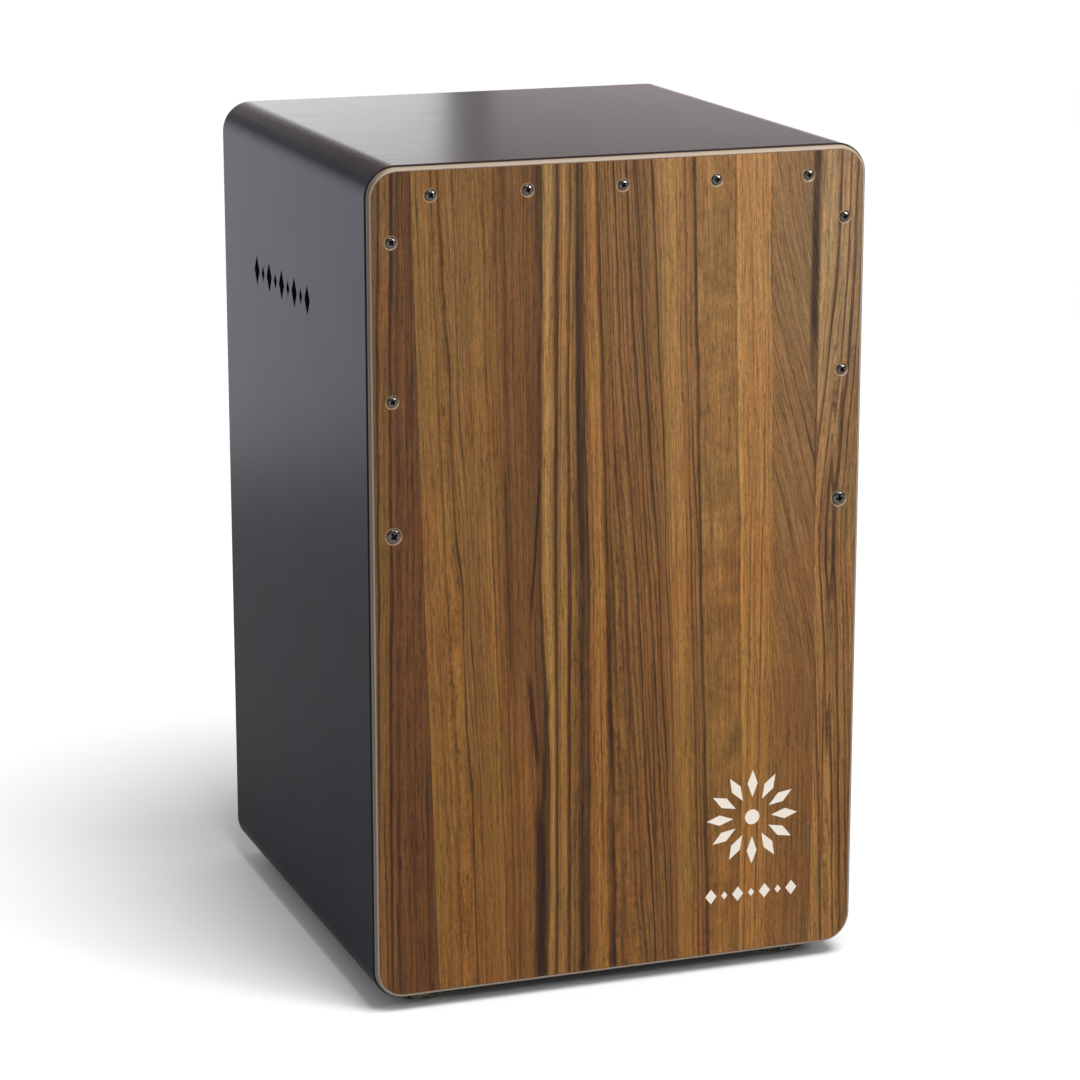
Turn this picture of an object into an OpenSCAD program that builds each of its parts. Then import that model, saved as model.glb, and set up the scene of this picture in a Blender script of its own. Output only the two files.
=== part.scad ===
// Cajon: a box drum with a thin playing surface, a round sound hole in the back
// and two sets of coil snares on a rail that tilts away from the playing surface.
// X runs left to right as seen from the front, the playing surface faces -Y, +Z is up.
// The origin is on the floor, under the middle of the box.

/* [Box] */
// Width of the box
body_w = 300; // [280:1:330]
// Depth from the face of the playing surface to the back edge
body_d = 300; // [280:1:330]
// Height of the box without its feet
body_h = 483; // [450:1:520]
// Thickness of the top, bottom and side panels
panel_t = 11; // [9:0.5:13]
// Outer radius of the four long edges
edge_r = 18; // [15:0.5:22]
// Thickness of the back panel
back_t = 5; // [4:0.5:7]
// Width of the panel edge that stays outside the back panel
back_lip = 5.5; // [4.5:0.5:7]
// Diameter of the sound hole
hole_d = 110; // [90:1:130]
// Height of the sound hole's centre above the floor
hole_z = 330; // [290:1:350]

/* [Playing surface] */
// Thickness of the playing surface
tapa_t = 4; // [3:0.5:5]
// How far the playing surface stays inside the edge of the box
tapa_inset = 1; // [0.2:0.1:2]
// Side of the square battens behind the playing surface and in the corners
batten = 18; // [16:1:22]

/* [Screws] */
// Distance of the top row of screws from the top edge
top_row_inset = 17; // [14:0.5:20]
// Distance between neighbouring screws of the top row
top_row_pitch = 56.5; // [50:0.5:57]
// Distance of the side screws from the side edge
side_row_inset = 14; // [13.5:0.5:18]
// Drop of the upper side screws below the top edge
side_drop_upper = 42; // [36:1:50]
// Drop of the middle side screws below the top edge
side_drop_middle = 131; // [110:1:150]
// Drop of the large side screws below the top edge
side_drop_lower = 207.5; // [190:0.5:230]
// Head diameter of the small screws
small_head_d = 5.9; // [5.5:0.1:8]
// Head diameter of the large screws
large_head_d = 7.9; // [7.5:0.1:10]

/* [Feet] */
// Height of the rubber feet
foot_h = 8; // [6:0.5:12]
// Diameter of the rubber feet
foot_d = 40; // [30:1:45]
// Distance of a foot's centre from the front or back edge and from the side edge
foot_inset = 36; // [30:1:50]

/* [Snares] */
// Height of the rail's pivots above the floor
pivot_z = 290; // [270:1:310]
// Number of coils in one set
coil_count = 20; // [12:1:22]
// Outer diameter of one coil
coil_d = 2.4; // [2:0.1:2.6]
// Distance between neighbouring coils
coil_pitch = 3.4; // [3:0.1:3.6]
// Length of the coils
coil_l = 125; // [100:5:135]
// Reach of the tilting lever behind the pivots
lever_reach = 89; // [60:1:100]

/* [Hidden] */
$fn = 48;
side = [-1, 1];

// Box: levels and faces
x_out = body_w / 2;
y_front = -body_d / 2;
y_back = body_d / 2;
z_low = foot_h;
z_top = foot_h + body_h;
z_mid = (z_low + z_top) / 2;
y_shell = y_front + tapa_t;
x_in = x_out - panel_t;
z_floor = z_low + panel_t;
z_roof = z_top - panel_t;
x_frame = x_in - batten;
y_frame = y_shell + batten;
y_rebate = y_back - back_t;

// Screws: shank radius, length under the face of the wood and rows
small_shank = 1.75;
large_shank = 2.1;
small_len = 17;
large_len = 20;
screw_fit = 0.05;
head_sink = 0.5;
head_dome = 0.9;
sink_rim = 1.1;
recess_w = 0.9;
recess_depth = 1.2;
top_row_z = z_top - top_row_inset;
side_row_x = x_out - side_row_inset;
upper_z = z_top - side_drop_upper;
middle_z = z_top - side_drop_middle;
lower_z = z_top - side_drop_lower;
corner_x = 2 * top_row_pitch;
fixed_spots = [
    [-top_row_pitch, top_row_z], [0, top_row_z], [top_row_pitch, top_row_z],
    [-side_row_x, middle_z], [side_row_x, middle_z]
];
tuning_spots = [
    [-corner_x, top_row_z], [corner_x, top_row_z],
    [-side_row_x, upper_z], [side_row_x, upper_z]
];
large_spots = [[-side_row_x, lower_z], [side_row_x, lower_z]];

// Feet: centres, screw and its seat
foot_x = x_out - foot_inset;
foot_y = y_back - foot_inset;
foot_seat = 4;
foot_seat_r = 5.5;
foot_screw_r = 2;
foot_head_r = 4.2;
foot_head_h = 2.4;
foot_bite = 9;

// Snare rail: pivots in two angle brackets behind the side battens
pivot_y = y_frame + 9;
pivot_r = 3;
running_gap = 0.05;
side_gap = 0.3;
bracket_t = 2.5;
bracket_web_r = 10;
bracket_half_h = 20;
bracket_screw_z = 14;
x_web = x_frame - 3;
washer_t = 1;
washer_r = 8;
rail_half = x_web - bracket_t - side_gap - washer_t;
rail_front = y_shell + 4;
rail_back = pivot_y + 8;
rail_low = pivot_z - 7;
rail_high = pivot_z + 17;
pivot_bite = 25;
pivot_head_r = 5;
pivot_head_h = 3.5;
plate_t = 1;
plate_ear = 9;
plate_low = pivot_z + 3;
plate_h = 12;
ledge_h = 1.5;
set_w = (coil_count - 1) * coil_pitch + coil_d;
plate_w = set_w + 2 * plate_ear;
set_x = 10 + plate_w / 2;
coil_y = rail_front - plate_t - coil_d / 2;
lever_w = 24;
lever_t = 5;
lever_front = rail_front + 8;
lever_screw_gap = 14;

// Helpers: a flat outline in X and Z becomes a board from y0 to y1
module board(y0, y1) {
    translate([0, y1, 0]) rotate([90, 0, 0]) linear_extrude(y1 - y0) children();
}

module block(low, high) {
    translate(low) cube(high - low);
}

module rounded_outline(w, h, r) {
    translate([0, z_mid]) {
        square([w - 2 * r, h], center = true);
        square([w, h - 2 * r], center = true);
        for (sx = side, sz = side)
            translate([sx * (w / 2 - r), sz * (h / 2 - r)]) circle(r);
    }
}

module rebate() {
    board(y_rebate, y_back + 1)
        rounded_outline(body_w - 2 * back_lip, body_h - 2 * back_lip, edge_r - back_lip);
}

// One mitred panel of the box: the four corners of its outline are given
module shell_panel(corners) {
    difference() {
        board(y_shell, y_back) intersection() {
            rounded_outline(body_w, body_h, edge_r);
            polygon(corners);
        }
        rebate();
    }
}

// A screw through the playing surface, seen from outside with its head towards -Y
module face_screw(head_r, shank, length) {
    cone = head_r - shank;
    rotate([90, 0, 0]) difference() {
        rotate_extrude() polygon([
            [0, -length], [shank, shank - length], [shank, -head_sink - cone],
            [head_r, -head_sink], [head_r * 0.8, head_dome * 0.55],
            [head_r * 0.4, head_dome * 0.9], [0, head_dome]
        ]);
        for (turn = [0, 90])
            rotate([0, 0, turn])
                translate([0, 0, head_dome]) cube([head_r, recess_w, 2 * recess_depth], center = true);
    }
}

module face_screws(spots, head_r, shank, length) {
    for (s = spots) translate([s[0], y_front, s[1]]) face_screw(head_r, shank, length);
}

// The hole that a face screw needs: countersink at the face and a close hole behind it
module face_hole(head_r, shank, length) {
    rim = head_r + sink_rim;
    bore = shank + screw_fit;
    rotate([-90, 0, 0]) {
        cylinder(h = rim - bore, r1 = rim, r2 = bore);
        cylinder(h = length + 1, r = bore);
    }
}

module face_holes(spots, head_r, shank, length) {
    for (s = spots) translate([s[0], y_front, s[1]]) face_hole(head_r, shank, length);
}

module all_face_holes() {
    face_holes(concat(fixed_spots, tuning_spots), small_head_d / 2, small_shank, small_len);
    face_holes(large_spots, large_head_d / 2, large_shank, large_len);
}

// Box
module left_panel() color("#2e3034") shell_panel([
    [-x_out, z_low], [-x_in, z_floor], [-x_in, z_roof], [-x_out, z_top]
]);

module right_panel() color("#2e3034") shell_panel([
    [x_out, z_low], [x_out, z_top], [x_in, z_roof], [x_in, z_floor]
]);

module top_panel() color("#37332f") shell_panel([
    [-x_out, z_top], [-x_in, z_roof], [x_in, z_roof], [x_out, z_top]
]);

module bottom_panel() color("#2e3034") difference() {
    shell_panel([[-x_out, z_low], [x_out, z_low], [x_in, z_floor], [-x_in, z_floor]]);
    for (sx = side, sy = side)
        translate([sx * foot_x, sy * foot_y, z_low - 1])
            cylinder(h = foot_bite + 1, r = foot_screw_r);
}

module back_panel() color("#26272a") difference() {
    board(y_rebate, y_back)
        rounded_outline(body_w - 2 * back_lip, body_h - 2 * back_lip, edge_r - back_lip);
    translate([0, y_rebate - 1, hole_z]) rotate([-90, 0, 0])
        cylinder(h = back_t + 2, d = hole_d, $fn = 96);
}

module playing_surface() color("#7d5530") difference() {
    board(y_front, y_shell)
        rounded_outline(body_w - 2 * tapa_inset, body_h - 2 * tapa_inset, edge_r - tapa_inset);
    all_face_holes();
}

// Battens behind the playing surface
module frame_rail_top() color("#c79f6b") difference() {
    block([-x_frame, y_shell, z_roof - batten], [x_frame, y_frame, z_roof]);
    all_face_holes();
}

module frame_rail_bottom() color("#c79f6b")
    block([-x_frame, y_shell, z_floor], [x_frame, y_frame, z_floor + batten]);

module frame_stile_left() color("#c79f6b") difference() {
    block([-x_in, y_shell, z_floor], [-x_frame, y_frame, z_roof]);
    all_face_holes();
    bracket_screw_set(0);
}

module frame_stile_right() color("#c79f6b") difference() {
    block([x_frame, y_shell, z_floor], [x_in, y_frame, z_roof]);
    all_face_holes();
    mirror([1, 0, 0]) bracket_screw_set(0);
}

// Battens that run front to back in the corners: sx and sz choose the corner
module corner_batten(sx, sz) color("#c79f6b") {
    translate([sx * (x_in - batten / 2), 0, z_mid + sz * ((z_roof - z_floor) / 2 - batten / 2)])
        translate([0, (y_frame + y_rebate) / 2, 0])
            cube([batten, y_rebate - y_frame, batten], center = true);
}

module corner_batten_top_left() corner_batten(-1, 1);
module corner_batten_top_right() corner_batten(1, 1);
module corner_batten_bottom_left() corner_batten(-1, -1);
module corner_batten_bottom_right() corner_batten(1, -1);

// Screws of the playing surface
module fixed_screws() color("#c8c4bc")
    face_screws(fixed_spots, small_head_d / 2, small_shank, small_len);

module large_side_screws() color("#c8c4bc")
    face_screws(large_spots, large_head_d / 2, large_shank, large_len);

module tuning_screw(i) color("#c8c4bc")
    face_screws([tuning_spots[i]], small_head_d / 2, small_shank, small_len);

module tuning_screw_top_left() tuning_screw(0);
module tuning_screw_top_right() tuning_screw(1);
module tuning_screw_side_left() tuning_screw(2);
module tuning_screw_side_right() tuning_screw(3);

// Feet
module foot(sx, sy) color("#54544a") translate([sx * foot_x, sy * foot_y, 0]) difference() {
    cylinder(h = foot_h, d = foot_d);
    translate([0, 0, -1]) cylinder(h = foot_seat + 1, r = foot_seat_r);
    cylinder(h = foot_h + 1, r = foot_screw_r);
}

module foot_front_left() foot(-1, -1);
module foot_front_right() foot(1, -1);
module foot_back_left() foot(-1, 1);
module foot_back_right() foot(1, 1);

module foot_screws() color("#b9b6ae")
    for (sx = side, sy = side) translate([sx * foot_x, sy * foot_y, foot_seat - foot_head_h]) {
        cylinder(h = foot_head_h, r = foot_head_r);
        cylinder(h = foot_head_h + foot_h - foot_seat + foot_bite, r = foot_screw_r);
    }

// Brackets that carry the snare rail, drawn for the left side
module bracket() color("#9fa1a3") difference() {
    union() {
        block(
            [-x_in + 2, y_frame, pivot_z - bracket_half_h],
            [-x_web + bracket_t, y_frame + bracket_t, pivot_z + bracket_half_h]
        );
        block(
            [-x_web, y_frame, pivot_z - bracket_web_r],
            [-x_web + bracket_t, pivot_y, pivot_z + bracket_web_r]
        );
        translate([-x_web, pivot_y, pivot_z]) rotate([0, 90, 0])
            cylinder(h = bracket_t, r = bracket_web_r);
    }
    translate([-x_web - 1, pivot_y, pivot_z]) rotate([0, 90, 0])
        cylinder(h = bracket_t + 2, r = pivot_r + running_gap);
    bracket_screw_set(0);
}

module bracket_left() bracket();
module bracket_right() mirror([1, 0, 0]) bracket();

// Two screws of one bracket: head_h above zero adds the heads
module bracket_screw_set(head_h) {
    for (sz = side)
        translate([-x_frame - 8, y_frame + bracket_t, pivot_z + sz * bracket_screw_z])
            rotate([90, 0, 0]) {
                cylinder(h = bracket_t + 11, r = 1.75);
                if (head_h > 0) translate([0, 0, -head_h]) cylinder(h = head_h, r = 3.4);
            }
}

module bracket_screws() color("#b9b6ae") {
    bracket_screw_set(2);
    mirror([1, 0, 0]) bracket_screw_set(2);
}

// Snare rail
module snare_rail() color("#d0aa78") difference() {
    block([-rail_half, rail_front, rail_low], [rail_half, rail_back, rail_high]);
    for (s = side)
        translate([s * rail_half, pivot_y, pivot_z]) rotate([0, 90, 0])
            cylinder(h = 2 * pivot_bite, r = pivot_r, center = true);
    plate_screw_set(0);
    lever_screw_set(0);
}

module pivot_screw() color("#b9b6ae")
    translate([-x_web - side_gap - pivot_head_h, pivot_y, pivot_z]) rotate([0, 90, 0]) {
        cylinder(h = pivot_head_h, r = pivot_head_r);
        cylinder(h = x_web + side_gap + pivot_head_h - rail_half + pivot_bite, r = pivot_r);
    }

module pivot_screw_left() pivot_screw();
module pivot_screw_right() mirror([1, 0, 0]) pivot_screw();

module friction_washer() color("#2b2b2b")
    translate([-rail_half - washer_t, pivot_y, pivot_z]) rotate([0, 90, 0]) difference() {
        cylinder(h = washer_t, r = washer_r);
        translate([0, 0, -1]) cylinder(h = washer_t + 2, r = pivot_r);
    }

module friction_washer_left() friction_washer();
module friction_washer_right() mirror([1, 0, 0]) friction_washer();

// Snare sets
module snare_plate(sx) color("#a8aaac") difference() {
    union() {
        block(
            [sx * set_x - plate_w / 2, rail_front - plate_t, plate_low],
            [sx * set_x + plate_w / 2, rail_front, plate_low + plate_h]
        );
        block(
            [sx * set_x - set_w / 2, rail_front - plate_t - coil_d, plate_low],
            [sx * set_x + set_w / 2, rail_front - plate_t, plate_low + ledge_h]
        );
    }
    plate_screw_set(0);
}

module snare_plate_left() snare_plate(-1);
module snare_plate_right() snare_plate(1);

module plate_screw_set(head_h) {
    for (sx = side, ear = side)
        translate([
            sx * set_x + ear * (plate_w - plate_ear) / 2, rail_front - plate_t, plate_low + plate_h / 2
        ])
            rotate([-90, 0, 0]) {
                cylinder(h = plate_t + 10, r = 1.5);
                if (head_h > 0) translate([0, 0, -head_h]) cylinder(h = head_h, r = 2.8);
            }
}

module snare_plate_screws() color("#b9b6ae") plate_screw_set(1.5);

module snare_coils(sx) color("#c4c6c8")
    for (i = [0 : coil_count - 1])
        translate([
            sx * set_x + (i - (coil_count - 1) / 2) * coil_pitch, coil_y, plate_low + ledge_h
        ])
            cylinder(h = coil_l, d = coil_d, $fn = 16);

module snare_coils_left() snare_coils(-1);
module snare_coils_right() snare_coils(1);

// Lever that the player reaches through the sound hole
module tilt_lever() color("#b98a55") difference() {
    union() {
        block(
            [-lever_w / 2, lever_front, rail_high],
            [lever_w / 2, pivot_y + lever_reach - lever_w / 2, rail_high + lever_t]
        );
        translate([0, pivot_y + lever_reach - lever_w / 2, rail_high])
            cylinder(h = lever_t, d = lever_w);
    }
    lever_screw_set(0);
}

module lever_screw_set(head_h) {
    for (i = [0, 1])
        translate([0, lever_front + 5 + i * lever_screw_gap, rail_high - 12]) {
            cylinder(h = 12 + lever_t, r = 1.75);
            if (head_h > 0) translate([0, 0, 12 + lever_t]) cylinder(h = head_h, r = 3.4);
        }
}

module tilt_lever_screws() color("#b9b6ae") lever_screw_set(2);

top_panel();
bottom_panel();
left_panel();
right_panel();
back_panel();
playing_surface();
frame_rail_top();
frame_rail_bottom();
frame_stile_left();
frame_stile_right();
corner_batten_top_left();
corner_batten_top_right();
corner_batten_bottom_left();
corner_batten_bottom_right();
fixed_screws();
large_side_screws();
tuning_screw_top_left();
tuning_screw_top_right();
tuning_screw_side_left();
tuning_screw_side_right();
foot_front_left();
foot_front_right();
foot_back_left();
foot_back_right();
foot_screws();
bracket_left();
bracket_right();
bracket_screws();
snare_rail();
pivot_screw_left();
pivot_screw_right();
friction_washer_left();
friction_washer_right();
snare_plate_left();
snare_plate_right();
snare_plate_screws();
snare_coils_left();
snare_coils_right();
tilt_lever();
tilt_lever_screws();
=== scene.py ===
"""Looks of the cajon: detailed meshes, procedural materials, studio light and camera."""
import math
import random

import bmesh
import bpy
from mathutils import Matrix, Vector

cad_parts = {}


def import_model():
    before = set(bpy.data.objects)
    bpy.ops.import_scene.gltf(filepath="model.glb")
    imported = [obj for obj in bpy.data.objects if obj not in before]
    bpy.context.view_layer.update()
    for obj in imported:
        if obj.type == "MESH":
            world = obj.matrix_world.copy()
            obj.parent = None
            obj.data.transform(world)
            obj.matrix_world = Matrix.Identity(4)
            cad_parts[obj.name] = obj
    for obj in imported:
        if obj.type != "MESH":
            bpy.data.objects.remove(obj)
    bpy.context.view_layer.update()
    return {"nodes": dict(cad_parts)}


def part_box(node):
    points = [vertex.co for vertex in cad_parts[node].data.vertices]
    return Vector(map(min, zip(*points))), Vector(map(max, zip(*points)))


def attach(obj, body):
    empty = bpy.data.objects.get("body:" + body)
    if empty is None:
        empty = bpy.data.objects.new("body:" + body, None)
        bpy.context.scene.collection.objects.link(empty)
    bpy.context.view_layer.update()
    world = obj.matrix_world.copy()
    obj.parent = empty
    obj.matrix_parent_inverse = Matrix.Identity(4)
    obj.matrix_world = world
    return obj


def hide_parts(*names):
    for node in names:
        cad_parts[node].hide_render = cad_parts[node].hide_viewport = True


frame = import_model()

MM = 0.001
random.seed(7)

# ---------------------------------------------------------------- sizes from the frame

SHELL_LO = Vector((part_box("left_panel")[0].x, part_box("left_panel")[0].y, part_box("bottom_panel")[0].z))
SHELL_HI = Vector((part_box("right_panel")[1].x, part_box("left_panel")[1].y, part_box("top_panel")[1].z))
TAPA_LO, TAPA_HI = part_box("playing_surface")
BACK_LO, BACK_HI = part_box("back_panel")
BOX_H = SHELL_HI.z - SHELL_LO.z
MID_Z = (SHELL_LO.z + SHELL_HI.z) / 2

EDGE_R = 18 * MM
RIM_ROUND = 0.4 * MM
INK_ROOM = 0.03 * MM  # the side walls stay this much inside the CAD box, so a printed mark fits
BACK_LIP = SHELL_HI.x - BACK_HI.x
HOLE_R = 55 * MM
HOLE_Z = 330 * MM
CHAMFER = 2.2 * MM
ARC_STEPS = 12


# ---------------------------------------------------------------- node graph helper

def srgb(r, g, b):
    """Linear colour from 0-255 display values."""
    def lin(c):
        c /= 255
        return c / 12.92 if c <= 0.04045 else ((c + 0.055) / 1.055) ** 2.4
    return (lin(r), lin(g), lin(b), 1.0)


class Graph:
    """A material's node tree with short ways to add nodes."""

    def __init__(self, name, color, roughness=0.5, metallic=0.0, specular=0.5):
        self.mat = bpy.data.materials.new(name)
        self.mat.use_nodes = True
        self.tree = self.mat.node_tree
        self.bsdf = self.tree.nodes["Principled BSDF"]
        self.bsdf.inputs["Base Color"].default_value = color
        self.bsdf.inputs["Roughness"].default_value = roughness
        self.bsdf.inputs["Metallic"].default_value = metallic
        self.bsdf.inputs["Specular IOR Level"].default_value = specular
        self.mat.diffuse_color = color

    def put(self, value, socket):
        if isinstance(value, bpy.types.NodeSocket):
            self.tree.links.new(value, socket)
        else:
            socket.default_value = value

    def node(self, kind, inputs=(), **props):
        n = self.tree.nodes.new(kind)
        for key, value in props.items():
            setattr(n, key, value)
        for key, value in dict(inputs).items():
            self.put(value, n.inputs[key])
        return n

    def math(self, op, a, b=0.0):
        return self.node("ShaderNodeMath", {0: a, 1: b}, operation=op).outputs[0]

    def times(self, a, b):
        return self.math("MULTIPLY", a, b)

    def plus(self, a, b):
        return self.math("ADD", a, b)

    def minus(self, a, b):
        return self.math("SUBTRACT", a, b)

    def blend(self, factor, a, b):
        """Number between a and b."""
        return self.node("ShaderNodeMix", {0: factor, 2: a, 3: b}).outputs[0]

    def coords(self):
        """X, Y and Z in millimetres in the object's own frame."""
        out = self.node("ShaderNodeTexCoord").outputs["Object"]
        split = self.node("ShaderNodeSeparateXYZ", {0: out})
        return [self.times(split.outputs[i], 1000.0) for i in range(3)]

    def vector(self, x, y, z):
        return self.node("ShaderNodeCombineXYZ", {0: x, 1: y, 2: z}).outputs[0]

    def scaled(self, axes, scales):
        return self.vector(*[self.times(a, s) for a, s in zip(axes, scales)])

    def noise(self, vector, detail=2.0, rough=0.5, distortion=0.0):
        n = self.node("ShaderNodeTexNoise", {
            "Vector": vector, "Scale": 1.0, "Detail": detail, "Roughness": rough, "Distortion": distortion})
        return n.outputs[0]

    def remap(self, value, lo, hi, to_lo=0.0, to_hi=1.0, smooth=False):
        n = self.node("ShaderNodeMapRange", {0: value, 1: lo, 2: hi, 3: to_lo, 4: to_hi},
                      interpolation_type="SMOOTHSTEP" if smooth else "LINEAR")
        return n.outputs[0]

    def ramp(self, value, stops, lo=0.0, hi=1.0):
        """Colour by value. Each stop is (value, colour) between lo and hi."""
        n = self.node("ShaderNodeValToRGB", {0: self.remap(value, lo, hi)})
        marks = n.color_ramp.elements
        marks[0].position, marks[1].position = 0.0, 1.0
        places = [(v - lo) / (hi - lo) for v, _ in stops]
        while len(marks) < len(stops):
            marks.new(0.5)
        for mark, place, (_, color) in zip(marks, places, stops):
            mark.position = place
            mark.color = color
        return n.outputs[0]

    def mix(self, factor, a, b, mode="MIX"):
        n = self.node("ShaderNodeMix", data_type="RGBA", blend_type=mode)
        for value, socket in zip((factor, a, b), (n.inputs[0], n.inputs[6], n.inputs[7])):
            self.put(value, socket)
        return n.outputs[2]

    def dye(self, color, filter_color):
        """Colour multiplied by another one."""
        return self.mix(1.0, color, filter_color, "MULTIPLY")

    def tint(self, color, amount):
        """Colour times a grey value."""
        grey = self.node("ShaderNodeCombineColor", {0: amount, 1: amount, 2: amount}).outputs[0]
        return self.dye(color, grey)

    def curve(self, value, lo, hi, points, to_lo, to_hi):
        """A smooth curve through points given in real units."""
        n = self.node("ShaderNodeFloatCurve", {1: self.remap(value, lo, hi)})
        line = n.mapping.curves[0]
        spots = [((x - lo) / (hi - lo), (y - to_lo) / (to_hi - to_lo)) for x, y in points]
        while len(line.points) < len(spots):
            line.points.new(0.5, 0.5)
        for p, spot in zip(line.points, spots):
            p.location = spot
            p.handle_type = "AUTO_CLAMPED"
        n.mapping.update()
        return self.remap(n.outputs[0], 0.0, 1.0, to_lo, to_hi)

    def color(self, value):
        self.put(value, self.bsdf.inputs["Base Color"])

    def rough(self, value):
        self.put(value, self.bsdf.inputs["Roughness"])

    def bump(self, height, distance, strength=1.0):
        n = self.node("ShaderNodeBump", {"Strength": strength, "Distance": distance, "Height": height})
        self.put(n.outputs[0], self.bsdf.inputs["Normal"])


# ---------------------------------------------------------------- walnut veneer

FACE_FOOT = TAPA_LO.z / MM
LEVELS = (480, 360, 240, 120, 0)

# Joints between the six leaves of veneer: X where each crosses the five levels, in mm
JOINTS = [
    (-124.5, -121.5, -118.3, -114.5, -111), (43.5, 47, 50.2, 54, 57.5), (69, 71.3, 74.3, 77.3, 76.5),
    (90, 92.5, 94.3, 94.3, 93.5), (122.5, 121, 121.3, 122.5, 122),
]

# How the figure of the middle leaves runs: X where one growth line crosses the five levels
FIGURE = [
    (-124.5, -121.5, -118.3, -114.5, -111), (-113, -110, -105, -100, -97),
    (-109, -102.5, -95.5, -90.5, -87),
    (-101, -98.3, -92, -86, -82), (-76, -73.5, -69.5, -66.5, -64), (-60, -59.5, -57.5, -54, -54.5),
    (-47.5, -47.5, -48, -42.5, -44), (-39.3, -39.3, -39.8, -38.6, -39), (-31.8, -32.4, -31.4, -31, -31.2),
    (-27, -26, -22.5, -22, -22.5), (-16, -11.5, -8.5, -4.7, -3), (-11, -6, 2.5, 11.3, 18.5),
    (-6, -0.3, 9.5, 16.5, 23.5), (1.5, 8.9, 17, 25.4, 32.5), (7, 14.2, 23.7, 30, 34.5),
    (17, 22.7, 28, 33, 37), (28, 31, 36, 40, 43), (43, 46.7, 49.9, 54, 57.5),
    (69, 71.3, 74.3, 77.3, 76.5),
    (90, 92.5, 94.3, 94.3, 93.5), (122.5, 121, 121.3, 122.5, 122),
]

# Tones across the top edge of the face, left to right: place in mm and display colour
TONES = [
    (-180, (98, 66, 42)), (-175, (112, 78, 48)), (-171, (120, 84, 50)), (-166.5, (126, 86, 50)),
    (-165, (104, 68, 42)), (-160, (106, 68, 40)), (-150, (104, 67, 39)),
    (-125.2, (104, 67, 39)), (-124.4, (141, 100, 56)), (-117, (136, 95, 52)), (-109, (132, 92, 50)),
    (-103, (138, 98, 56)), (-100, (128, 90, 51)), (-92, (130, 90, 50)), (-85, (139, 97, 53)),
    (-78, (126, 84, 46)), (-70, (112, 73, 41)), (-63, (119, 79, 44)), (-56, (110, 72, 41)),
    (-50, (96, 64, 40)),
    (-47.6, (136, 98, 58)), (-44, (164, 126, 80)), (-41, (142, 102, 62)), (-38.4, (126, 86, 50)),
    (-35.5, (158, 117, 72)), (-33.2, (142, 100, 58)), (-30.5, (138, 100, 58)), (-28.6, (124, 86, 50)),
    (-26.3, (92, 63, 42)), (-23.6, (134, 89, 49)), (-20, (161, 113, 64)), (-17.4, (150, 102, 57)),
    (-14, (126, 87, 51)), (-8, (137, 96, 57)), (-3, (127, 88, 53)), (4, (131, 92, 55)),
    (10, (124, 85, 52)),
    (14, (136, 94, 56)), (18.5, (134, 94, 56)), (24, (150, 108, 66)), (31, (152, 110, 66)),
    (36, (140, 98, 60)),
    (40.5, (138, 98, 62)), (43.2, (122, 86, 54)), (43.8, (138, 99, 60)), (56, (140, 100, 60)),
    (68.6, (136, 97, 58)), (69.2, (178, 132, 84)), (71, (160, 114, 68)), (80, (164, 117, 72)),
    (89.6, (160, 114, 70)), (90.3, (134, 96, 60)), (104, (136, 97, 62)), (122, (130, 93, 60)),
    (150, (158, 115, 76)), (156, (170, 125, 83)), (163, (153, 111, 74)), (170, (160, 117, 79)),
    (176, (142, 104, 70)), (181, (140, 101, 66)),
]

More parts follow.
